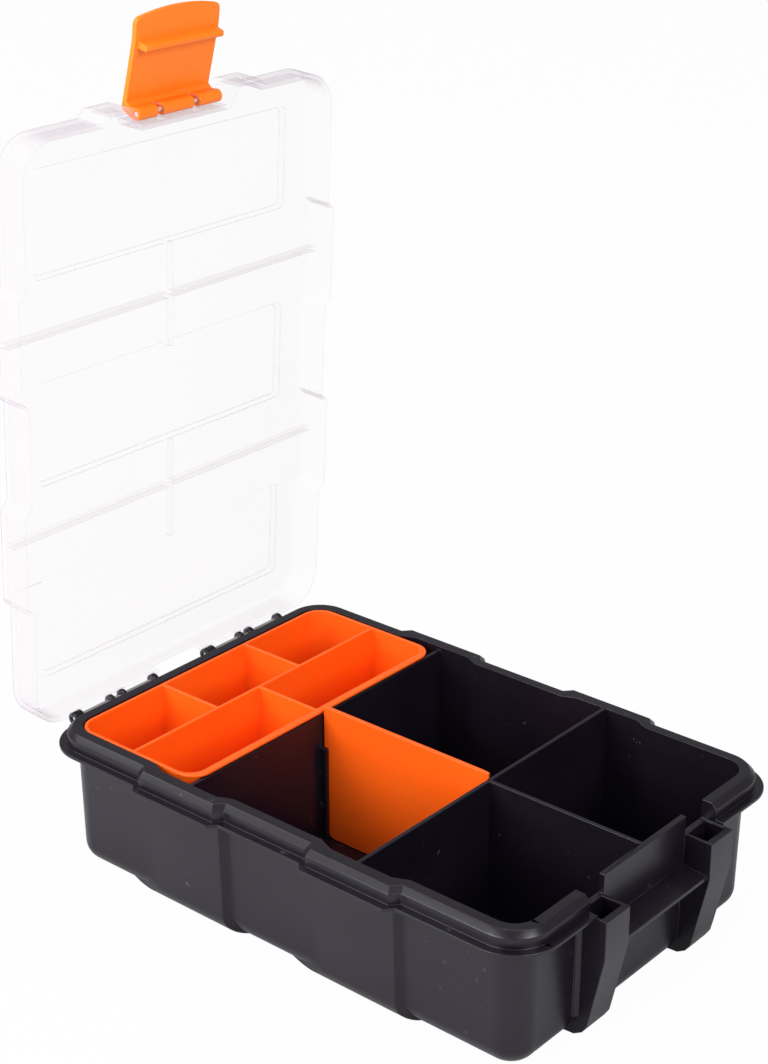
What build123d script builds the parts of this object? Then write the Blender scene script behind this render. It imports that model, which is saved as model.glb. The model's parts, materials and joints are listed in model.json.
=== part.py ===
from build123d import *
from math import radians, tan
import os

# Open tool case: a drafted tub with stepped sides, a clear lid on two hinges, a swinging
# latch, a compartment tray that lifts out and a divider that slides out of its guides.
# Sizes are in millimetres. X runs across the case, -Y is the latch side, +Y the hinge side,
# and the tub stands on Z = 0 with the origin under its middle. The lid, the latch and their
# pin are drawn with the lid shut and then turned open about the hinge axis.

# Tub, measured outside the wall at the height of the rim
tub_width = 137.8
tub_length = 207.7
tub_corner = 10.8
rim_height = 55.4
wall = 2.2
floor = 2.0
draft = 1.0
foot_radius = 8.0

# Grips: the sides step outwards beside each cross wall, in the rim, outside and inside. Each
# grip is its front foot, front ramp, rear foot and rear ramp, with the feet measured from the
# middle of the cross wall.
rim_grip = (-20.75, 2.8, 20.75, 2.8)
rim_outset = 3.1
wall_grip = (-18.1, 2.0, 20.0, 7.5)
inside_grip = (-19.8, 5.6, 18.4, 6.3)
wall_outset = 2.6

# Rolled rim: a chamfered bead above a thin flange, with a hollow underside
bead_reach = 3.7
bead_chamfer = 2.1
bead_skin = 1.8
bead_top = 2.0
flange_reach = 6.8
flange_drop = 6.0
flange_thickness = 1.2

# Cross walls and the lengthwise wall in front of them
rear_wall_y = 40.7
front_wall_y = -38.1
partition = 1.6
partition_draft = 0.5
tray_step = 1.6

# Guides for the divider
guide_drop = 14.4
guide_reach = 3.0
guide_width = 1.6
guide_play = 0.3

# Front: notch for the latch, upright plate, hollow posts and keeper ledge. The toe of a post
# is a row of places from the wall's outer face, inwards and upwards.
notch_half = 36.8
notch_drop = 7.2
notch_depth = 17.0
plate_half = 24.0
post_width = 13.3
post_skin = 1.2
post_front_skin = 2.6
post_reach = 10.5
post_taper_drop = 21.4
post_mid_height = 23.5
post_mid_reach = 8.35
post_toe = ((-5.3, 9.0), (-4.5, 5.4), (-2.6, 2.4), (0.6, 0.5), (7.0, 0.5), (4.4, 2.0))
post_root = 1.95
pocket_gap = 0.2
corner_rib = 1.2
ledge_drop = 20.1
ledge_slope_rise = 1.2
ledge_thickness = 1.6
ledge_reach = 9.3

# Hinge; the lugs are measured inwards from the sides of the tub
hinge_reach = 7.65
hinge_drop = 4.7
barrel_radius = 2.6
hinge_pin_radius = 1.1
hinge_pin_short = 0.5
press = 0.02
running = 0.08
side_play = 0.4
turn_play = 0.4
open_angle = 86.8
left_lug_places = ((10.9, 14.9), (29.1, 30.7), (35.1, 36.7), (51.1, 53.3))
right_lug_places = ((57.9, 53.1), (38.6, 37.0), (33.4, 31.4), (16.9, 14.9))
knuckle_pairs = ((0, 1), (2, 3))

# Lid, shut
lid_side_reach = 7.4
lid_front_reach = 6.2
lid_back_reach = 5.95
lid_corner = 14.0
lid_edge_drop = 4.7
lid_rise = 8.3
lid_wall = 1.6
lid_sheet = 2.0
lid_round = 2.0
lid_rib = 1.8
rib_rise = 2.4
rib_rear_y = 36.5
rib_front_y = -38.5
window_width = 122.0
window_length = 37.2
window_pitch = 76.8
window_middle_y = -0.3
window_corner = 6.0
window_step = 1.0
nose_half = 40.0
nose_ramp = 3.0
nose_reach = 3.0
recess_back = 2.25
recess_back_half = 20.6
recess_front_half = 25.7
back_gap = (-13.3, 10.5)
back_gap_rise = 1.1

# Latch, drawn with the lid shut and the latch swung straight out. The faces and the hook are
# places from the latch axis, outwards and upwards.
latch_reach = 5.15
latch_drop = 0.1
latch_barrel = 2.3
latch_pin_radius = 0.9
latch_pin_half = 19.6
finger_places = (-9.6, 7.8)
finger_width = 2.2
latch_half = 20.0
latch_upper_face = ((-2.1, 0.0), (-1.6, 3.0), (0.4, 6.6), (1.9, 6.9), (13.5, 4.3), (25.5, 1.75), (34.9, 0.9))
latch_lower_face = ((34.9, -1.1), (25.5, -0.25), (13.5, 2.3), (3.5, 4.5), (2.1, 3.0), (2.1, 0.0))
latch_corner_reach = 32.6
latch_corner = 2.5
hook_section = ((22.5, 0.95), (21.6, -3.6), (22.3, -4.2), (23.7, -4.2), (25.2, 0.95))
hook_half = 18.5

# Tray
tray_drop = 0.3
tray_play = 0.5
tray_back_play = 0.5
tray_front_play = 0.3
tray_draft = 1.2
tray_wall = 1.4
tray_floor = 1.5
tray_lift = 0.3
tray_corner = 8.0
tray_foot_radius = 5.5
tray_row_y = 71.5
tray_back_cross = 22.3
tray_front_cross = 0.0
tray_lip = 1.0
lip_overlap = 0.4

# Divider
divider_x = 1.2
divider_thickness = 1.8
divider_rise = 1.8
divider_play = 0.3
divider_corner = 5.0
divider_edge = 3.0
divider_edge_thickness = 1.2

# Allowances for cuts: how far they run past an open face, and a hair to keep faces apart
over = 1.0
hair = 0.01

# Sizes that follow from the ones above
half_width = tub_width / 2
half_length = tub_length / 2
flange_top = rim_height - flange_drop
flange_bottom = flange_top - flange_thickness
notch_height = rim_height - notch_drop
post_taper_height = rim_height - post_taper_drop
ledge_top = rim_height - ledge_drop
hinge_height = rim_height - hinge_drop
hinge_y = half_length + hinge_reach
hinge_axis = Axis((0, hinge_y, hinge_height), (1, 0, 0))
lid_edge = rim_height - lid_edge_drop
lid_top = rim_height + lid_rise
rib_bottom = rim_height + rib_rise
latch_y = -half_length - latch_reach
latch_height = rim_height - latch_drop
lugs_left = [(-half_width + start, -half_width + end) for start, end in left_lug_places]
lugs_right = [(half_width - start, half_width - end) for start, end in right_lug_places]
partition_places = (rear_wall_y, front_wall_y)
rear_wall_front = rear_wall_y - partition / 2
front_wall_back = front_wall_y + partition / 2


def grip_steps(half_x, outset, grip, spread=0.0):
    """Bands across the case that step out past both sides beside each cross wall."""
    front_foot, front_ramp, rear_foot, rear_ramp = grip
    inner = half_x - spread
    inner_front = front_foot - spread * front_ramp / outset
    inner_rear = rear_foot + spread * rear_ramp / outset
    with BuildSketch() as steps:
        for side in (-1, 1):
            for middle in partition_places:
                Polygon(
                    (0, middle + inner_front),
                    (side * inner, middle + inner_front),
                    (side * (half_x + outset), middle + front_foot + front_ramp),
                    (side * (half_x + outset), middle + rear_foot - rear_ramp),
                    (side * inner, middle + inner_rear),
                    (0, middle + inner_rear),
                    align=None,
                )
    return steps.sketch


def rim_outline(reach):
    """Plan of the rim at a distance outside the wall, with its steps."""
    with BuildSketch() as outline:
        RectangleRounded(2 * (half_width + reach), 2 * (half_length + reach), tub_corner + reach)
        add(grip_steps(half_width + reach, rim_outset, rim_grip))
    return outline.sketch


def drafted_box(half_x, half_y, corner, bottom, radius):
    """Box that narrows downwards from the rim by the draft, with a rounded lower edge."""
    with BuildPart() as box:
        with BuildSketch(Plane.XY.offset(rim_height)):
            RectangleRounded(2 * half_x, 2 * half_y, corner)
        extrude(amount=bottom - rim_height, taper=draft)
        fillet(box.faces().sort_by(Axis.Z)[0].edges(), radius)
    return box.part


def stepped_body(inset, bottom, grip):
    """Drafted box inside the tub's outline, with the grip steps bulging from its long sides."""
    half_x = half_width - inset
    half_y = half_length - inset
    radius = foot_radius - bottom
    with BuildPart() as bulges:
        add(drafted_box(half_x + wall_outset, half_y, tub_corner - inset, bottom, radius))
        with BuildSketch(Plane.XY.offset(bottom)):
            add(grip_steps(half_x, wall_outset, grip, foot_radius))
        extrude(amount=rim_height - bottom, mode=Mode.INTERSECT)
    with BuildPart() as body:
        add(drafted_box(half_x, half_y, tub_corner - inset, bottom, radius))
        add(bulges.part)
    return body.part


def cross_wall(middle, top):
    """Wall across the tub, thicker at its foot."""
    spread = top * tan(radians(partition_draft))
    with BuildPart() as plate:
        with BuildSketch(Plane.YZ.offset(-half_width - wall_outset)):
            Polygon(
                (middle - partition / 2 - spread, 0),
                (middle + partition / 2 + spread, 0),
                (middle + partition / 2, top),
                (middle - partition / 2, top),
                align=None,
            )
        extrude(amount=2 * (half_width + wall_outset))
    return plate.part


def hinge_bar(start, end, radius, play=0.0):
    """Round bar along the hinge axis between two X places."""
    low = min(start, end) - play
    with BuildPart() as bar:
        with BuildSketch(Plane.YZ.offset(low)):
            with Locations((hinge_y, hinge_height)):
                Circle(radius)
        extrude(amount=abs(end - start) + 2 * play)
    return bar.part


# Tub: rim ring first, then the hollow with its walls left standing
with BuildPart() as rim:
    with BuildSketch(Plane.XY.offset(flange_bottom)):
        add(rim_outline(bead_reach))
    extrude(amount=rim_height - flange_bottom)
    chamfer(rim.faces().sort_by(Axis.Z)[-1].edges(), bead_chamfer)
    with BuildSketch(Plane.XY.offset(flange_bottom)):
        add(rim_outline(flange_reach))
    extrude(amount=flange_thickness)
    # Hollow under the bead, closed beside the notch
    with BuildSketch(Plane.XY.offset(flange_bottom)):
        add(rim_outline(bead_reach - bead_skin))
        with Locations((0, -half_length)):
            Rectangle(2 * (notch_half + bead_skin), notch_depth, mode=Mode.SUBTRACT)
    extrude(amount=rim_height - bead_top - flange_bottom, mode=Mode.SUBTRACT)
    with BuildSketch(Plane.XY.offset(flange_bottom)):
        with Locations((0, -half_length)):
            Rectangle(2 * notch_half, notch_depth)
    extrude(amount=rim_height, mode=Mode.SUBTRACT)

with BuildPart() as hollow:
    add(stepped_body(wall, floor, inside_grip))
    add(cross_wall(rear_wall_y, rim_height - tray_step), mode=Mode.SUBTRACT)
    add(cross_wall(front_wall_y, rim_height), mode=Mode.SUBTRACT)
    with BuildSketch(Plane.XZ.offset(-front_wall_y)):
        foot_spread = rim_height * tan(radians(partition_draft))
        Polygon(
            (-partition / 2 - foot_spread, 0),
            (partition / 2 + foot_spread, 0),
            (partition / 2, rim_height),
            (-partition / 2, rim_height),
            align=None,
        )
    extrude(amount=half_length + front_wall_y, mode=Mode.SUBTRACT)
    guide_gap = divider_thickness / 2 + guide_play + guide_width / 2
    guide_middle = (guide_reach - partition / 2) / 2
    with BuildSketch(Plane.XY):
        for side in (-1, 1):
            with Locations(
                (divider_x + side * guide_gap, rear_wall_front - guide_middle),
                (divider_x + side * guide_gap, front_wall_back + guide_middle),
            ):
                Rectangle(guide_width, guide_reach + partition / 2)
    extrude(amount=rim_height - guide_drop, mode=Mode.SUBTRACT)

with BuildPart() as base:
    add(stepped_body(0, 0, wall_grip))
    add(rim.part)
    add(hollow.part, mode=Mode.SUBTRACT)
    # Notches between the bead and the upright plate
    for side in (-1, 1):
        with BuildSketch(Plane.XY.offset(notch_height)):
            with Locations((side * (plate_half + notch_half) / 2, -half_length)):
                Rectangle(notch_half - plate_half, notch_depth / 2)
        extrude(amount=rim_height - notch_height, mode=Mode.SUBTRACT)
    # Posts on both sides of the latch, hollow from above
    for side in (-1, 1):
        start = plate_half if side > 0 else -plate_half - post_width
        with BuildSketch(Plane.YZ.offset(start)):
            Polygon(
                (-half_length + post_root, notch_height),
                (-half_length - post_reach, notch_height),
                (-half_length - post_reach, post_taper_height),
                (-half_length - post_mid_reach, post_mid_height),
                *[(-half_length + inwards, height) for inwards, height in post_toe],
                (-half_length + post_root, foot_radius),
                align=None,
            )
        extrude(amount=post_width)
        with BuildSketch(Plane.YZ.offset(start + post_skin)):
            Polygon(
                (-half_length - pocket_gap, notch_height + over),
                (-half_length - post_reach + post_front_skin, notch_height + over),
                (-half_length - post_reach + post_front_skin, post_taper_height),
                (-half_length - post_mid_reach + post_front_skin, post_mid_height),
                (-half_length - pocket_gap, post_mid_height),
                align=None,
            )
        extrude(amount=post_width - 2 * post_skin, mode=Mode.SUBTRACT)
        # Filled corner between the post and the wall
        with BuildSketch(Plane.XY.offset(foot_radius)):
            post_side = side * (plate_half + post_width)
            Polygon(
                (post_side, -half_length + post_root),
                (post_side, -half_length - corner_rib),
                (post_side + side * corner_rib, -half_length),
                (post_side + side * corner_rib, -half_length + post_root),
                align=None,
            )
        extrude(amount=flange_bottom - foot_radius)
    # Keeper ledge between the posts
    with BuildSketch(Plane.YZ.offset(-plate_half)):
        Polygon(
            (-half_length + wall / 2, ledge_top + ledge_slope_rise),
            (-half_length - ledge_reach, ledge_top),
            (-half_length - ledge_reach, ledge_top - ledge_thickness),
            (-half_length + wall / 2, ledge_top - ledge_thickness),
            align=None,
        )
    extrude(amount=2 * plate_half)
    # Hinge lugs, and room in the flange for the knuckles between them
    for group in (lugs_left, lugs_right):
        for first, last in knuckle_pairs:
            add(
                hinge_bar(group[first][1], group[last][0], barrel_radius + turn_play, -hair),
                mode=Mode.SUBTRACT,
            )
        for start, end in group:
            add(hinge_bar(start, end, barrel_radius))
            with BuildSketch(Plane.YZ.offset(start)):
                with Locations((hinge_y - barrel_radius, hinge_height - barrel_radius / 2)):
                    Rectangle(2 * barrel_radius, barrel_radius)
            extrude(amount=end - start)
        add(
            hinge_bar(group[0][0], group[-1][1], hinge_pin_radius - press, over),
            mode=Mode.SUBTRACT,
        )


def lid_outline(inset):
    """Plan of the lid, with the same steps as the rim and a nose over the latch."""
    side_x = half_width + lid_side_reach - inset
    front_y = half_length + lid_front_reach - inset
    back_y = half_length + lid_back_reach - inset
    with BuildSketch() as outline:
        with Locations((0, (back_y - front_y) / 2)):
            RectangleRounded(2 * side_x, front_y + back_y, lid_corner - inset)
        add(grip_steps(side_x, rim_outset, rim_grip))
        Polygon(
            (-nose_half + inset, 0),
            (-nose_half + inset, -front_y),
            (-nose_half + nose_ramp + inset, -front_y - nose_reach),
            (nose_half - nose_ramp - inset, -front_y - nose_reach),
            (nose_half - inset, -front_y),
            (nose_half - inset, 0),
            align=None,
        )
    return outline.sketch


def latch_recess(grow):
    """Plan of the recess that the latch swings in, widening towards the front."""
    back_y = -half_length - recess_back + grow
    nose_y = -half_length - lid_front_reach - nose_reach
    spread = (recess_front_half - recess_back_half) / (back_y - grow - nose_y)
    front_y = nose_y - 2 * lid_wall
    side_grow = grow * (1 + spread * spread) ** 0.5
    back_half = recess_back_half + side_grow - spread * grow
    front_half = back_half + spread * (back_y - front_y)
    with BuildSketch() as recess:
        Polygon(
            (-back_half, back_y), (-front_half, front_y), (front_half, front_y), (back_half, back_y),
            align=None,
        )
    return recess.sketch


def latch_point(reach, rise):
    """Place in the YZ plane, measured outwards and upwards from the latch axis."""
    return (latch_y - reach, latch_height + rise)


def latch_bar(start, end, radius):
    """Round bar along the latch axis between two X places."""
    with BuildPart() as bar:
        with BuildSketch(Plane.YZ.offset(start)):
            with Locations(latch_point(0, 0)):
                Circle(radius)
        extrude(amount=end - start)
    return bar.part


# Lid, shut: a shallow skirted pan with three stepped windows and stiffening ribs
with BuildPart() as lid_shut:
    with BuildSketch(Plane.XY.offset(lid_edge)):
        add(lid_outline(0))
    extrude(amount=lid_top - lid_edge)
    fillet(lid_shut.faces().sort_by(Axis.Z)[-1].edges(), lid_round)
    with BuildSketch(Plane.XY.offset(lid_edge)):
        add(lid_outline(lid_wall))
        add(latch_recess(lid_wall), mode=Mode.SUBTRACT)
    extrude(amount=lid_top - lid_sheet - lid_edge, mode=Mode.SUBTRACT)
    with BuildSketch(Plane.XY.offset(lid_edge)):
        add(latch_recess(0))
    extrude(amount=lid_top - lid_edge, mode=Mode.SUBTRACT)
    # Windows: sunk outside and proud inside
    with BuildSketch(Plane.XY.offset(lid_top - lid_sheet - window_step)):
        with Locations((0, window_middle_y)):
            with GridLocations(0, window_pitch, 1, 3):
                RectangleRounded(window_width + 2 * window_step, window_length + 2 * window_step, window_corner)
    extrude(amount=window_step)
    with BuildSketch(Plane.XY.offset(lid_top)):
        with Locations((0, window_middle_y)):
            with GridLocations(0, window_pitch, 1, 3):
                RectangleRounded(window_width, window_length, window_corner)
    extrude(amount=-window_step, mode=Mode.SUBTRACT)
    # Ribs over the cross walls, with short lengthwise ribs between the windows
    rib_span = 2 * (half_width + lid_side_reach + rim_outset) - lid_wall
    with BuildSketch(Plane.XY.offset(rib_bottom)):
        with Locations((0, rib_rear_y), (0, rib_front_y)):
            Rectangle(rib_span, lid_rib)
        with Locations((0, window_middle_y)):
            with GridLocations(0, window_pitch, 1, 2):
                Rectangle(lid_rib, window_pitch - window_length)
    extrude(amount=lid_top - lid_sheet - rib_bottom)
    # Back edge: open in the middle, cut round the lugs, with a knuckle in each pair of lugs
    with BuildSketch(Plane.XY.offset(lid_edge)):
        with Locations(((back_gap[0] + back_gap[1]) / 2, half_length + lid_back_reach)):
            Rectangle(back_gap[1] - back_gap[0], 3 * lid_wall)
    extrude(amount=rim_height + back_gap_rise - lid_edge, mode=Mode.SUBTRACT)
    for group in (lugs_left, lugs_right):
        for start, end in group:
            add(
                hinge_bar(start, end, barrel_radius + turn_play, side_play),
                mode=Mode.SUBTRACT,
            )
        for first, last in knuckle_pairs:
            start = group[first][1] + side_play
            end = group[last][0] - side_play
            add(hinge_bar(start, end, barrel_radius))
            with BuildSketch(Plane.YZ.offset(start)):
                back_y = half_length + lid_back_reach - lid_wall
                Polygon(
                    (back_y, lid_edge),
                    (hinge_y, lid_edge),
                    (hinge_y, hinge_height + barrel_radius),
                    (back_y, hinge_height + 2 * barrel_radius),
                    align=None,
                )
            extrude(amount=end - start)
        add(
            hinge_bar(group[0][0], group[-1][1], hinge_pin_radius + running),
            mode=Mode.SUBTRACT,
        )
    # Fingers that carry the latch pin, and holes for the pin
    for middle in finger_places:
        start = middle - finger_width / 2
        add(latch_bar(start, start + finger_width, latch_barrel))
        with BuildSketch(Plane.YZ.offset(start)):
            Polygon(
                latch_point(0, -latch_barrel),
                latch_point(recess_back - latch_reach - lid_wall / 2, -latch_barrel),
                latch_point(recess_back - latch_reach - lid_wall / 2, 0),
                latch_point(0, 0),
                align=None,
            )
        extrude(amount=finger_width)
    add(
        latch_bar(-latch_pin_half, latch_pin_half, latch_pin_radius - press),
        mode=Mode.SUBTRACT,
    )

with BuildPart() as lid:
    add(lid_shut.part.rotate(hinge_axis, -open_angle))

# Latch, swung straight out from the shut lid
with BuildPart() as latch_shut:
    with BuildSketch(Plane.YZ.offset(-latch_half)):
        section = [latch_point(reach, rise) for reach, rise in latch_upper_face + latch_lower_face]
        Polygon(*section, align=None)
    extrude(amount=2 * latch_half)
    # Rounded free edge
    with BuildSketch(Plane.XY.offset(latch_height - 2 * latch_barrel)) as free_edge:
        with BuildLine():
            back = latch_y + 2 * latch_barrel
            corner = latch_y - latch_corner_reach
            tip = latch_y - latch_upper_face[-1][0]
            Line((-latch_half, back), (latch_half, back))
            Line((latch_half, back), (latch_half, corner))
            ThreePointArc((latch_half, corner), (0, tip), (-latch_half, corner))
            Line((-latch_half, corner), (-latch_half, back))
        make_face()
        fillet(free_edge.vertices().sort_by(Axis.Y)[:2], latch_corner)
    extrude(amount=5 * latch_barrel, mode=Mode.INTERSECT)
    with BuildSketch(Plane.YZ.offset(-hook_half)):
        Polygon(*[latch_point(reach, rise) for reach, rise in hook_section], align=None)
    extrude(amount=2 * hook_half)
    # Barrel in three lengths between the fingers
    add(latch_bar(-latch_half, latch_half, latch_barrel))
    for middle in finger_places:
        with BuildSketch(Plane.YZ.offset(middle - finger_width / 2 - side_play)):
            with Locations(latch_point(0, 0)):
                Rectangle(2 * latch_barrel + over, 2 * (latch_barrel + turn_play + side_play))
        extrude(amount=finger_width + 2 * side_play, mode=Mode.SUBTRACT)
    add(
        latch_bar(-latch_half, latch_half, latch_pin_radius + running),
        mode=Mode.SUBTRACT,
    )

with BuildPart() as latch:
    add(latch_shut.part.rotate(hinge_axis, -open_angle))

with BuildPart() as latch_pin:
    add(latch_bar(-latch_pin_half, latch_pin_half, latch_pin_radius).rotate(hinge_axis, -open_angle))

with BuildPart() as hinge_pin_left:
    add(hinge_bar(lugs_left[0][0], lugs_left[-1][1], hinge_pin_radius, -hinge_pin_short))

with BuildPart() as hinge_pin_right:
    add(hinge_bar(lugs_right[0][0], lugs_right[-1][1], hinge_pin_radius, -hinge_pin_short))

# Tray: a drafted box with straight walls inside and a lip over the rear cross wall
tray_half = half_width - wall - tray_play
tray_back = half_length - wall - tray_back_play
tray_front = rear_wall_y + partition / 2 + tray_front_play
tray_top = rim_height - tray_drop
tray_bottom = floor + tray_lift
lip_front = rear_wall_front + lip_overlap


def tray_block(inset, bottom, radius):
    """Block inside the tray's outline that narrows downwards, with a rounded lower edge."""
    with BuildPart() as block:
        with BuildSketch(Plane.XY.offset(tray_top)):
            with Locations((0, (tray_front + tray_back) / 2)):
                RectangleRounded(
                    2 * (tray_half - inset), tray_back - tray_front - 2 * inset, tray_corner - inset
                )
        extrude(amount=bottom - tray_top, taper=tray_draft)
        fillet(block.faces().sort_by(Axis.Z)[0].edges(), radius)
    return block.part


with BuildPart() as pockets:
    add(tray_block(tray_wall, tray_bottom + tray_floor, tray_foot_radius - tray_floor))
    with BuildSketch(Plane.XY.offset(tray_bottom)):
        with Locations((0, tray_row_y)):
            Rectangle(2 * tray_half, tray_wall)
        with Locations(
            (-tray_back_cross, (tray_row_y + tray_back) / 2),
            (tray_back_cross, (tray_row_y + tray_back) / 2),
        ):
            Rectangle(tray_wall, tray_back - tray_row_y)
        with Locations((tray_front_cross, (tray_front + tray_row_y) / 2)):
            Rectangle(tray_wall, tray_row_y - tray_front)
    extrude(amount=tray_top - tray_bottom, mode=Mode.SUBTRACT)

with BuildPart() as insert_tray:
    add(tray_block(0, tray_bottom, tray_foot_radius))
    with BuildSketch(Plane.XY.offset(tray_top - tray_lip)):
        with Locations((0, (lip_front + tray_back) / 2)):
            RectangleRounded(2 * tray_half, tray_back - lip_front, tray_corner)
    extrude(amount=tray_lip)
    add(pockets.part, mode=Mode.SUBTRACT)

# Divider: a flat plate that stands in the guides and rises a little above the walls
with BuildPart() as divider:
    divider_foot = floor + divider_play
    rear_edge = rear_wall_front - divider_play
    front_edge = front_wall_back + divider_play
    with BuildSketch(Plane.YZ.offset(divider_x - divider_thickness / 2)):
        plate = Polygon(
            (front_edge + foot_spread, divider_foot),
            (rear_edge - foot_spread, divider_foot),
            (rear_edge, rim_height + divider_rise),
            (front_edge, rim_height + divider_rise),
            align=None,
        )
        fillet(plate.vertices().sort_by(Axis.Y)[:2], divider_corner)
    extrude(amount=divider_thickness)
    # Edges that thin towards the guides
    with BuildSketch(Plane.XY):
        Polygon(
            (divider_x - divider_edge_thickness / 2, front_edge),
            (divider_x + divider_edge_thickness / 2, front_edge),
            (divider_x + divider_thickness / 2, front_edge + divider_edge),
            (divider_x + divider_thickness / 2, rear_edge - divider_edge),
            (divider_x + divider_edge_thickness / 2, rear_edge),
            (divider_x - divider_edge_thickness / 2, rear_edge),
            (divider_x - divider_thickness / 2, rear_edge - divider_edge),
            (divider_x - divider_thickness / 2, front_edge + divider_edge),
            align=None,
        )
    extrude(amount=rim_height + divider_rise, mode=Mode.INTERSECT)

os.makedirs("parts", exist_ok=True)
base.part.label = "base"
export_step(base.part, "parts/base.step")
lid.part.label = "lid"
export_step(lid.part, "parts/lid.step")
latch.part.label = "latch"
export_step(latch.part, "parts/latch.step")
latch_pin.part.label = "latch_pin"
export_step(latch_pin.part, "parts/latch_pin.step")
hinge_pin_left.part.label = "hinge_pin_left"
export_step(hinge_pin_left.part, "parts/hinge_pin_left.step")
hinge_pin_right.part.label = "hinge_pin_right"
export_step(hinge_pin_right.part, "parts/hinge_pin_right.step")
insert_tray.part.label = "insert_tray"
export_step(insert_tray.part, "parts/insert_tray.step")
divider.part.label = "divider"
export_step(divider.part, "parts/divider.step")
for piece in (base, lid, latch, latch_pin, hinge_pin_left, hinge_pin_right, insert_tray, divider):
    print(piece.part.label, round(piece.part.volume), piece.part.is_valid, len(piece.part.solids()))
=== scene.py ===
"""Looks of an open compartment case: a dark moulded tub, a clear lid and orange fittings.

Every size is in metres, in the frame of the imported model: X across the case, -Y towards the
latch, +Z up. The moulded nodes are replaced by copies whose sharp edges are eased, because a
moulded edge is never sharp. The wire pins keep their own meshes.
"""

from __future__ import annotations

import json
import logging
import math
from dataclasses import dataclass, field, replace
from enum import Enum
from typing import Any

import bmesh
import bpy
from mathutils import Matrix, Vector

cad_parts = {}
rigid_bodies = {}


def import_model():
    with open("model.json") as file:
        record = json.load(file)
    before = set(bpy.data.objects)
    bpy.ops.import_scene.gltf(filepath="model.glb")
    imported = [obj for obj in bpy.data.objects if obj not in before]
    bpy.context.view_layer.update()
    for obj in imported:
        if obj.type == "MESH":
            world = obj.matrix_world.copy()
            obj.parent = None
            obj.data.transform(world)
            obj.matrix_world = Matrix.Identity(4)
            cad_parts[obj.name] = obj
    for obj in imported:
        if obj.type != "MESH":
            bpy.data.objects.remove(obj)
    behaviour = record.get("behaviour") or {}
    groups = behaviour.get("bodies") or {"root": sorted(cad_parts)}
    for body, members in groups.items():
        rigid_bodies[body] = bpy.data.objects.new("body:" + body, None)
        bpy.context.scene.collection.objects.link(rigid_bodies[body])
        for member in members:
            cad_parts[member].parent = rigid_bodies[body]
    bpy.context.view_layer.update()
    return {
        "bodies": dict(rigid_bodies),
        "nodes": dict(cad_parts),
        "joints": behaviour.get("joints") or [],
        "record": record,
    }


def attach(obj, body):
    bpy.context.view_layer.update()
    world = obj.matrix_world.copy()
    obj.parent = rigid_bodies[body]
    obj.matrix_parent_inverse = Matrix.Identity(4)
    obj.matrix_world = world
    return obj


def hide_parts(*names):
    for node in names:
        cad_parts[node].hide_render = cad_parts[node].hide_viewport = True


LOG = logging.getLogger("compartment_case")

Triple = tuple[float, float, float]
WHITE: Triple = (1.0, 1.0, 1.0)
MIDDLE = 0.5


class Relief(Enum):
    """How coarse the relief of a surface is, in waves per metre."""

    SLOW_WAVE = 65.0
    SATIN_GRAIN = 900.0


class MixSocket(Enum):
    """Places of a Mix node's sockets when it mixes colours: three inputs and the output."""

    SHARE = 0
    FIRST = 6
    SECOND = 7
    RESULT = 2


def opaque(colour: Triple) -> tuple[float, float, float, float]:
    """Returns a colour with full alpha."""
    return (*colour, 1.0)


class Signal:
    """A shader socket that takes part in Python arithmetic."""

    def __init__(self, graph: Graph, socket: bpy.types.NodeSocket) -> None:
        """Keeps the socket and the graph that it belongs to.

        Args:
            graph: The graph that gets the nodes of later arithmetic.
            socket: The output socket that carries the value.
        """
        self.graph = graph
        self.socket = socket

    def _math(self, operation: str, first: Signal | float, second: Signal | float) -> Signal:
        """Adds one Math node.

        Args:
            operation: The Math node's operation.
            first: The left operand.
            second: The right operand.

        Returns:
            The node's value.
        """
        made = self.graph.node("ShaderNodeMath", {"operation": operation}, {0: first, 1: second})
        return Signal(self.graph, made.outputs[0])

    def __add__(self, other: Signal | float) -> Signal:
        """Returns self + other."""
        return self._math("ADD", self, other)

    __radd__ = __add__

    def __sub__(self, other: Signal | float) -> Signal:
        """Returns self - other."""
        return self._math("SUBTRACT", self, other)

    def __rsub__(self, other: float) -> Signal:
        """Returns other - self."""
        return self._math("SUBTRACT", other, self)

    def __mul__(self, other: Signal | float) -> Signal:
        """Returns self * other."""
        return self._math("MULTIPLY", self, other)

    __rmul__ = __mul__

    def ramp(self, low: float, high: float) -> Signal:
        """Rises from 0 at low to 1 at high, clamped.

        Args:
            low: The value that gives 0.
            high: The value that gives 1.

        Returns:
            The clamped share.
        """
        made = self.graph.node(
            "ShaderNodeMapRange",
            {"interpolation_type": "SMOOTHSTEP"},
            {"Value": self, "From Min": low, "From Max": high},
        )
        return Signal(self.graph, made.outputs[0])


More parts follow.
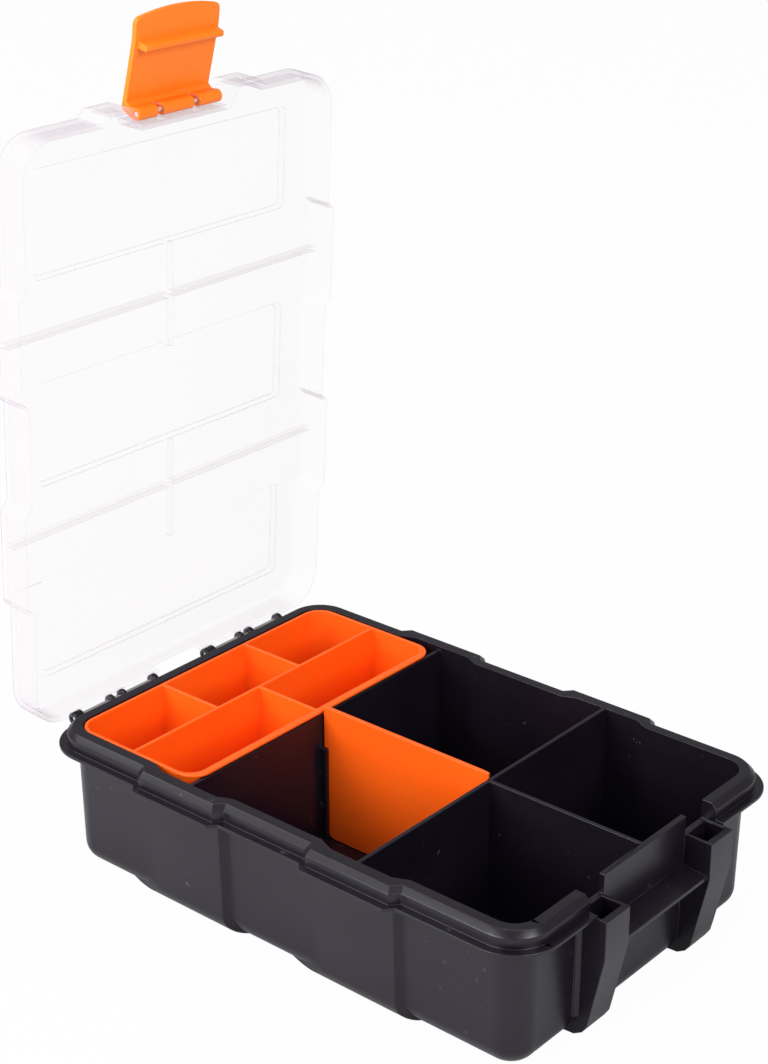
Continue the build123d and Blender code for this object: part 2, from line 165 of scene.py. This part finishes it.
class Graph:
    """The node tree of one material, or of the world."""

    def __init__(self, owner: bpy.types.Material | bpy.types.World) -> None:
        """Empties the node tree of its owner.

        Args:
            owner: The material or world that the nodes make up.
        """
        owner.use_nodes = True
        self.owner = owner
        self.tree = owner.node_tree
        self.tree.nodes.clear()
        self.place: bpy.types.NodeSocket | None = None

    def node(
        self,
        kind: str,
        settings: dict[str, Any] | None = None,
        inputs: dict[Any, Any] | None = None,
    ) -> bpy.types.Node:
        """Adds a node, sets it up and links or fills its sockets.

        Args:
            kind: The node's type.
            settings: Attributes that are set first.
            inputs: Socket names or indices with a value, a socket or a Signal each.

        Returns:
            The new node.
        """
        made = self.tree.nodes.new(kind)
        for key, value in (settings or {}).items():
            setattr(made, key, value)
        for key, value in (inputs or {}).items():
            if isinstance(value, Signal):
                value = value.socket
            if isinstance(value, bpy.types.NodeSocket):
                self.tree.links.new(value, made.inputs[key])
            else:
                made.inputs[key].default_value = value
        return made

    def noise(self, waves: float, detail: float = 2.0, stretch: Triple | None = None) -> Signal:
        """Noise over the piece's own coordinates.

        Args:
            waves: Waves per metre.
            detail: Octaves of finer noise.
            stretch: Scale of each axis, for marks that run one way.

        Returns:
            The noise value.
        """
        if self.place is None:
            self.place = self.node("ShaderNodeTexCoord").outputs["Object"]
        place = self.place
        if stretch is not None:
            mapping = self.node("ShaderNodeMapping", None, {"Vector": place, "Scale": stretch})
            place = mapping.outputs[0]
        made = self.node(
            "ShaderNodeTexNoise", None, {"Vector": place, "Scale": waves, "Detail": detail}
        )
        return Signal(self, made.outputs[0])

    def blend(
        self, share: Signal, first: Triple | bpy.types.NodeSocket, second: Triple
    ) -> bpy.types.NodeSocket:
        """Mixes two colours.

        Args:
            share: Where it is 1 the second colour shows.
            first: Linear colour, or a colour socket.
            second: Linear colour.

        Returns:
            The colour socket.
        """
        inputs = {
            MixSocket.SHARE.value: share,
            MixSocket.FIRST.value: opaque(first) if isinstance(first, tuple) else first,
            MixSocket.SECOND.value: opaque(second),
        }
        made = self.node("ShaderNodeMix", {"data_type": "RGBA"}, inputs)
        return made.outputs[MixSocket.RESULT.value]

    def bump(self, height: Signal, depth: float) -> bpy.types.NodeSocket:
        """Turns a height into a normal.

        Args:
            height: Height, 0 to 1.
            depth: Depth of the relief in metres.

        Returns:
            The normal socket.
        """
        inputs = {"Height": height, "Distance": depth, "Strength": 1.0}
        return self.node("ShaderNodeBump", None, inputs).outputs[0]

    def seen_by_camera(self) -> Signal:
        """Returns 1 for what the camera sees itself and 0 for light and reflections."""
        path = self.node("ShaderNodeLightPath")
        return Signal(self, path.outputs["Is Camera Ray"])

    def mix_shaders(
        self, share: Signal, first: bpy.types.Node, second: bpy.types.Node
    ) -> bpy.types.Node:
        """Mixes two shaders.

        Args:
            share: Where it is 1 the second shader shows.
            first: The node of the first shader.
            second: The node of the second shader.

        Returns:
            The node of the mixed shader.
        """
        inputs = {0: share, 1: first.outputs[0], 2: second.outputs[0]}
        return self.node("ShaderNodeMixShader", None, inputs)

    def finish(self, shader: bpy.types.Node) -> bpy.types.Material | bpy.types.World:
        """Links the shader to the output.

        Args:
            shader: The node whose first output is the surface.

        Returns:
            The finished material or world.
        """
        is_world = isinstance(self.owner, bpy.types.World)
        kind = "ShaderNodeOutputWorld" if is_world else "ShaderNodeOutputMaterial"
        self.node(kind, None, {"Surface": shader.outputs[0]})
        return self.owner


@dataclass(frozen=True)
class MouldedPlastic:
    """Opaque moulded plastic with a fine grain, faint flow marks, rubbed patches and nicks.

    Waves are per metre, and each ramp gives the noise values at which a mark begins and is full.
    """

    name: str
    colour: Triple
    rubbed: Triple
    roughness: float
    grain_depth: float
    gloss: float = 0.43
    subsurface: float = 0.0
    subsurface_depth: float = 0.004
    nick_share: float = 0.0
    nick_colour: Triple = (0.14, 0.13, 0.15)
    grain: Relief = Relief.SATIN_GRAIN
    cloud_waves: float = 28.0
    flow_waves: float = 60.0
    flow_stretch: Triple = (1.0, 0.25, 1.6)
    flow_share: float = 0.4
    rub_ramp: tuple[float, float] = (0.3, 0.75)
    scratch_waves: float = 160.0
    scratch_stretch: Triple = (6.0, 0.5, 3.0)
    scratch_ramp: tuple[float, float] = (0.62, 0.74)
    scratch_depth_share: float = 0.2
    scratch_roughness: float = 0.06
    nick_waves: float = 330.0
    nick_ramp: tuple[float, float] = (0.69, 0.74)
    nick_patch_waves: float = 45.0
    nick_patch_ramp: tuple[float, float] = (0.48, 0.6)
    roughness_spread: float = 0.08

    def material(self) -> bpy.types.Material:
        """Builds the material.

        Returns:
            The material with its node tree.
        """
        graph = Graph(bpy.data.materials.new(self.name))
        cloud = graph.noise(self.cloud_waves, 3.0)
        flow = graph.noise(self.flow_waves, 2.0, self.flow_stretch)
        grain = graph.noise(self.grain.value, 3.0)
        scratch = graph.noise(self.scratch_waves, 5.0, self.scratch_stretch)
        scratch = scratch.ramp(*self.scratch_ramp)
        patch = graph.noise(self.nick_patch_waves, 1.0).ramp(*self.nick_patch_ramp)
        nick = graph.noise(self.nick_waves, 2.0).ramp(*self.nick_ramp) * patch
        rub = cloud * (1 - self.flow_share) + flow * self.flow_share
        colour = graph.blend(rub.ramp(*self.rub_ramp), self.colour, self.rubbed)
        spread = (cloud - MIDDLE) * self.roughness_spread
        height = grain * (1 - self.scratch_depth_share) - scratch * self.scratch_depth_share
        shader = graph.node(
            "ShaderNodeBsdfPrincipled",
            None,
            {
                "Base Color": graph.blend(nick * self.nick_share, colour, self.nick_colour),
                "Roughness": self.roughness + spread + scratch * self.scratch_roughness,
                "Normal": graph.bump(height, self.grain_depth),
                "IOR": 1.5,
                "Specular IOR Level": self.gloss,
                "Subsurface Weight": self.subsurface,
                "Subsurface Scale": self.subsurface_depth,
            },
        )
        return graph.finish(shader)


@dataclass(frozen=True)
class ClearPlastic:
    """Clear moulded plastic, a little milky, that shows more of itself edge on."""

    name: str
    colour: Triple
    face_share: float
    edge_share: float
    roughness: float
    facing_blend: float = 0.35
    facing_ramp: tuple[float, float] = (0.22, 0.95)
    cloud_waves: float = 22.0
    cloud_share: float = 0.02
    roughness_spread: float = 0.08
    wave: Relief = Relief.SLOW_WAVE
    wave_depth: float = 0.00001

    def material(self) -> bpy.types.Material:
        """Builds the material.

        Returns:
            The material with its node tree.
        """
        graph = Graph(bpy.data.materials.new(self.name))
        cloud = graph.noise(self.cloud_waves, 3.0) - MIDDLE
        wave = graph.noise(self.wave.value, 0.0)
        weight = graph.node("ShaderNodeLayerWeight", None, {"Blend": self.facing_blend})
        edge_on = Signal(graph, weight.outputs["Facing"]).ramp(*self.facing_ramp)
        share = self.face_share + edge_on * (self.edge_share - self.face_share)
        shader = graph.node(
            "ShaderNodeBsdfPrincipled",
            None,
            {
                "Base Color": opaque(self.colour),
                "Roughness": self.roughness + cloud * self.roughness_spread,
                "Alpha": share + cloud * self.cloud_share,
                "IOR": 1.49,
                "Normal": graph.bump(wave, self.wave_depth),
            },
        )
        return graph.finish(shader)


@dataclass(frozen=True)
class DrawnWire:
    """Bright drawn wire with marks along its length."""

    name: str
    colour: Triple
    roughness: float
    mark_waves: float = 500.0
    mark_stretch: Triple = (0.05, 4.0, 4.0)
    mark_roughness: float = 0.15
    mark_depth: float = 0.00001

    def material(self) -> bpy.types.Material:
        """Builds the material.

        Returns:
            The material with its node tree.
        """
        graph = Graph(bpy.data.materials.new(self.name))
        marks = graph.noise(self.mark_waves, 3.0, self.mark_stretch)
        shader = graph.node(
            "ShaderNodeBsdfPrincipled",
            None,
            {
                "Base Color": opaque(self.colour),
                "Metallic": 1.0,
                "Roughness": self.roughness + marks * self.mark_roughness,
                "Normal": graph.bump(marks, self.mark_depth),
            },
        )
        return graph.finish(shader)


@dataclass
class Moulding:
    """One moulding: a copy of its node with eased edges and its finish."""

    node: str
    body: str
    slot: str
    finish: MouldedPlastic | ClearPlastic
    edge: float = 0.00025
    edge_steps: int = 2
    sharp: float = math.radians(32.0)
    smooth: float = math.radians(50.0)
    flatness: float = math.cos(math.radians(0.6))
    fullness: float = 0.35
    weld_reach: float = 0.000005

    def build(self, frame: dict[str, Any]) -> bpy.types.Object:
        """Copies the node, eases its edges and dresses it.

        Args:
            frame: What the frame loader returned.

        Returns:
            The finished piece.
        """
        source = frame["nodes"][self.node]
        piece = bpy.data.objects.new(f"{self.node}_shell", source.data.copy())
        bpy.context.scene.collection.objects.link(piece)
        self._weld(piece)
        self._shape(piece)
        self._ease(piece)
        piece.data.materials.clear()
        piece.data.materials.append(self.finish.material())
        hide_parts(self.node)
        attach(piece, self.body)
        return piece

    def _shape(self, piece: bpy.types.Object) -> None:
        """Leaves the form as it is; a moulding with finer forms adds them here.

        Args:
            piece: The welded mesh.
        """

    def _weld(self, piece: bpy.types.Object) -> None:
        """Merges the loose triangles and joins the flat ones into whole faces.

        A flat region with a hole in it stays in triangles, because one face can't hold a hole.

        Args:
            piece: The copied mesh.
        """
        mesh = bmesh.new()
        mesh.from_mesh(piece.data)
        bmesh.ops.remove_doubles(mesh, verts=mesh.verts, dist=self.weld_reach)
        mesh.normal_update()
        inner: set[bmesh.types.BMEdge] = set()
        seen: set[bmesh.types.BMFace] = set()
        for face in mesh.faces:
            if face not in seen:
                region = self._flat_region(face, seen)
                seen |= region
                inner |= self._joinable_edges(region)
        bmesh.ops.dissolve_edges(mesh, edges=list(inner), use_verts=False)
        mesh.to_mesh(piece.data)
        mesh.free()

    def _flat_region(
        self, start: bmesh.types.BMFace, taken: set[bmesh.types.BMFace]
    ) -> set[bmesh.types.BMFace]:
        """Collects the faces that lie in one plane with a face and hang together with it.

        Args:
            start: The first face.
            taken: Faces that are in a region already.

        Returns:
            The faces of the flat region.
        """
        region = {start}
        waiting = [start]
        while waiting:
            for edge in waiting.pop().edges:
                for other in edge.link_faces:
                    if other in region or other in taken:
                        continue
                    if other.normal.dot(start.normal) > self.flatness:
                        region.add(other)
                        waiting.append(other)
        return region

    def _joinable_edges(self, region: set[bmesh.types.BMFace]) -> set[bmesh.types.BMEdge]:
        """Finds the edges inside a flat region that one face can take the place of.

        Args:
            region: The faces of the region.

        Returns:
            The edges between its faces, or none where the region has a hole or a pinch, or is
            a thin frame round an opening, which one face could close.
        """
        edges = {edge for face in region for edge in face.edges}
        outline = {edge for edge in edges if sum(face in region for face in edge.link_faces) == 1}
        corners = {corner for edge in outline for corner in edge.verts}
        if not self._is_full(region, corners):
            return set()
        if any(sum(edge in outline for edge in corner.link_edges) != 2 for corner in corners):
            return set()
        walked = {next(iter(outline))}
        waiting = list(walked)
        while waiting:
            for corner in waiting.pop().verts:
                for edge in corner.link_edges:
                    if edge in outline and edge not in walked:
                        walked.add(edge)
                        waiting.append(edge)
        return edges - outline if len(walked) == len(outline) else set()

    def _is_full(
        self, region: set[bmesh.types.BMFace], corners: set[bmesh.types.BMVert]
    ) -> bool:
        """Tells whether a flat region fills enough of the box around it.

        Args:
            region: The faces of the region.
            corners: The points of its outline.

        Returns:
            Whether it does.
        """
        spans = []
        for axis in range(3):
            places = [corner.co[axis] for corner in corners]
            spans.append(max(places) - min(places))
        _, narrow, wide = sorted(spans)
        return sum(face.calc_area() for face in region) >= self.fullness * narrow * wide

    def _ease(self, piece: bpy.types.Object) -> None:
        """Rounds the sharp edges slightly and smooths the rest, with the flat faces kept flat.

        Args:
            piece: The welded mesh.
        """
        low, high = Vector(piece.bound_box[0]), Vector(piece.bound_box[6])
        bpy.ops.object.select_all(action="DESELECT")
        bpy.context.view_layer.objects.active = piece
        piece.select_set(True)
        bevel = piece.modifiers.new("eased_edges", "BEVEL")
        bevel.width = self.edge
        bevel.segments = self.edge_steps
        bevel.limit_method = "ANGLE"
        bevel.angle_limit = self.sharp
        bevel.use_clamp_overlap = False
        bevel.miter_outer = "MITER_ARC"
        bpy.ops.object.modifier_apply(modifier=bevel.name)
        for vertex in piece.data.vertices:
            vertex.co = [min(max(vertex.co[axis], low[axis]), high[axis]) for axis in range(3)]
        bpy.ops.object.shade_smooth_by_angle(angle=self.smooth)
        flat = piece.modifiers.new("flat_faces", "WEIGHTED_NORMAL")
        flat.keep_sharp = True
        bpy.ops.object.modifier_apply(modifier=flat.name)


@dataclass
class ClearLid(Moulding):
    """The clear lid, whose three stepped windows get crisp corners, outside and inside.

    Sizes are those of the shut lid, which is turned about its hinge to stand open.
    """

    hinge_y: float = 0.1115
    hinge_z: float = 0.0507
    open_turn: float = math.radians(-86.8)
    top: float = 0.0637
    sheet: float = 0.002
    window_width: float = 0.122
    window_length: float = 0.0372
    window_pitch: float = 0.0768
    window_middle: float = -0.0003
    window_step: float = 0.001
    round_corner: float = 0.006
    crisp_corner: float = 0.0022
    reach: float = 0.00005

    def _shape(self, piece: bpy.types.Object) -> None:
        """Draws the corners of the windows tighter, with every other corner left in place.

        Args:
            piece: The welded lid.
        """
        pivot = Matrix.Translation((0.0, self.hinge_y, self.hinge_z))
        opened = pivot @ Matrix.Rotation(self.open_turn, 4, "X") @ pivot.inverted()
        shut = opened.inverted()
        underside = self.top - self.sheet
        outlines = {
            self.top: 0.0,
            self.top - self.window_step: 0.0,
            underside: self.window_step,
            underside - self.window_step: self.window_step,
        }
        for vertex in piece.data.vertices:
            place = shut @ vertex.co
            for level, grown in outlines.items():
                if abs(place.z - level) < self.reach:
                    vertex.co = opened @ self._tightened(place, grown)

    def _tightened(self, place: Vector, grown: float) -> Vector:
        """Moves a point of a window's rounded corner onto the tighter corner.

        Args:
            place: The point, in the frame of the shut lid.
            grown: How far this outline lies outside the window's own.

        Returns:
            The moved point, or the same one where it isn't on such a corner.
        """
        half_width = self.window_width / 2 + grown
        half_length = self.window_length / 2 + grown
        row = max(-1, min(1, round((place.y - self.window_middle) / self.window_pitch)))
        middle = self.window_middle + row * self.window_pitch
        across = abs(place.x) - (half_width - self.round_corner)
        along = abs(place.y - middle) - (half_length - self.round_corner)
        spread = math.hypot(across, along)
        if min(across, along) < -self.reach or abs(spread - self.round_corner) > self.reach:
            return place
        share = self.crisp_corner / spread
        new_across = half_width - self.crisp_corner + across * share
        new_along = half_length - self.crisp_corner + along * share
        return Vector(
            (
                math.copysign(new_across, place.x),
                middle + math.copysign(new_along, place.y - middle),
                place.z,
            )
        )


@dataclass
class WirePin:
    """A pin that keeps its own mesh and gets the wire finish."""

    node: str
    finish: DrawnWire

    def build(self, frame: dict[str, Any]) -> bpy.types.Object:
        """Dresses the pin.

        Args:
            frame: What the frame loader returned.

        Returns:
            The pin's object.
        """
        pin = frame["nodes"][self.node]
        pin.data.materials.clear()
        pin.data.materials.append(self.finish.material())
        return pin


@dataclass(frozen=True)
class SoftLamp:
    """A square soft lamp that faces the case."""

    name: str
    place: Triple
    size: float
    power: float
    target: Triple = (0.0, 0.0, 0.06)

    def build(self) -> None:
        """Adds the lamp."""
        data = bpy.data.lights.new(self.name, "AREA")
        data.size = self.size
        data.energy = self.power
        lamp = bpy.data.objects.new(self.name, data)
        place = Vector(self.place)
        lamp.location = place
        lamp.rotation_euler = (Vector(self.target) - place).to_track_quat("-Z", "Y").to_euler()
        bpy.context.scene.collection.objects.link(lamp)


@dataclass
class Studio:
    """Pale seamless floor, soft lamps and the camera of the photograph."""

    camera_place: Triple = (-0.5372, -0.44587, 0.44477)
    camera_turn: Triple = (66.33, 0.0, -49.69)
    camera_near: float = 0.01
    focal_pixels: float = 2223.2
    frame_height_pixels: float = 1064.0
    sensor: float = 36.0
    floor_half: float = 6.0
    floor_height: float = -0.0002
    floor_colour: Triple = (0.62, 0.61, 0.64)
    floor_white_share: float = 0.975
    surround_light: float = 0.35
    lamps: list[SoftLamp] = field(
        default_factory=lambda: [
            SoftLamp("key", (-1.22, 0.25, 0.60), 0.9, 20.5),
            SoftLamp("back", (-0.5, 1.1, 1.1), 0.6, 5.0),
            SoftLamp("front", (-0.25, -1.4, 0.95), 0.8, 18.0),
            SoftLamp("top", (0.1, 0.1, 1.8), 1.0, 7.5),
        ]
    )

    def build(self) -> None:
        """Makes the floor, the surround, the lamps and the camera."""
        self._floor()
        self._surround()
        for lamp in self.lamps:
            lamp.build()
        self._camera()

    def _floor(self) -> None:
        """Makes the pale floor, which keeps the shadow and looks nearly white."""
        place = (0, 0, self.floor_height)
        bpy.ops.mesh.primitive_plane_add(size=2 * self.floor_half, location=place)
        floor = bpy.context.active_object
        floor.name = "floor"
        graph = Graph(bpy.data.materials.new("pale_floor"))
        paper = graph.node("ShaderNodeBsdfDiffuse", None, {"Color": opaque(self.floor_colour)})
        glow = graph.node("ShaderNodeEmission", None, {"Color": opaque(WHITE), "Strength": 1.0})
        seen = graph.seen_by_camera() * self.floor_white_share
        floor.data.materials.append(graph.finish(graph.mix_shaders(seen, paper, glow)))

    def _surround(self) -> None:
        """Makes a white surround that is seen as white and lights softly."""
        graph = Graph(bpy.data.worlds.new("white_surround"))
        soft, white = (
            graph.node("ShaderNodeBackground", None, {"Color": opaque(WHITE), "Strength": strength})
            for strength in (self.surround_light, 1.0)
        )
        shader = graph.mix_shaders(graph.seen_by_camera(), soft, white)
        bpy.context.scene.world = graph.finish(shader)

    def _camera(self) -> None:
        """Adds the camera that was fitted to the photograph."""
        data = bpy.data.cameras.new("photo_camera")
        data.sensor_width = self.sensor
        data.lens = self.focal_pixels / self.frame_height_pixels * self.sensor
        data.clip_start = self.camera_near
        camera = bpy.data.objects.new("photo_camera", data)
        camera.location = self.camera_place
        camera.rotation_euler = [math.radians(angle) for angle in self.camera_turn]
        bpy.context.scene.collection.objects.link(camera)
        bpy.context.scene.camera = camera


TUB_FINISH = MouldedPlastic(
    name="dark_moulded",
    colour=(0.0052, 0.0034, 0.0080),
    rubbed=(0.0078, 0.0060, 0.0110),
    roughness=0.29,
    grain_depth=0.00002,
    nick_share=0.28,
)
ORANGE_FINISH = MouldedPlastic(
    name="orange_moulded",
    colour=(0.95, 0.108, 0.004),
    rubbed=(0.97, 0.122, 0.006),
    roughness=0.36,
    grain_depth=0.000012,
    subsurface=0.05,
)
# The latch is the same orange plastic as the tray and divider. Its lighter, yellower colour is
# painted light: it stands in for the light that falls on and through the latch.
LATCH_LIT_ORANGE_FINISH = replace(
    ORANGE_FINISH,
    name="orange_moulded_painted_light",
    colour=(1.00, 0.205, 0.007),
    rubbed=(1.00, 0.220, 0.010),
    gloss=0.35,
)
CLEAR_FINISH = ClearPlastic(
    name="clear_moulded",
    colour=(0.60, 0.51, 0.58),
    face_share=0.030,
    edge_share=0.60,
    roughness=0.18,
)
WIRE_FINISH = DrawnWire(name="drawn_wire", colour=(0.62, 0.62, 0.64), roughness=0.22)
PALE_WIRE_FINISH = DrawnWire(name="pale_drawn_wire", colour=(0.93, 0.92, 0.93), roughness=0.35)


def main() -> None:
    """Builds the case's pieces and the studio around them."""
    logging.basicConfig(level=logging.INFO, format="%(name)s: %(message)s")
    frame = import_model()
    for obj in bpy.context.selected_objects:
        obj.select_set(False)
    mouldings = [
        Moulding("base", "tub", "tub_plastic", TUB_FINISH),
        ClearLid("lid", "lid", "clear_plastic", CLEAR_FINISH),
        Moulding("latch", "latch", "orange_plastic", LATCH_LIT_ORANGE_FINISH),
        Moulding("insert_tray", "tray", "orange_plastic", ORANGE_FINISH),
        Moulding("divider", "divider", "orange_plastic", ORANGE_FINISH),
    ]
    for moulding in mouldings:
        piece = moulding.build(frame)
        LOG.info("%s has %d faces", piece.name, len(piece.data.polygons))
    pins = [
        WirePin("latch_pin", PALE_WIRE_FINISH),
        WirePin("hinge_pin_left", WIRE_FINISH),
        WirePin("hinge_pin_right", WIRE_FINISH),
    ]
    for pin in pins:
        LOG.info("%s is dressed", pin.build(frame).name)
    Studio().build()
    bpy.context.scene.view_settings.view_transform = "Standard"


if __name__ == "__main__":
    main()
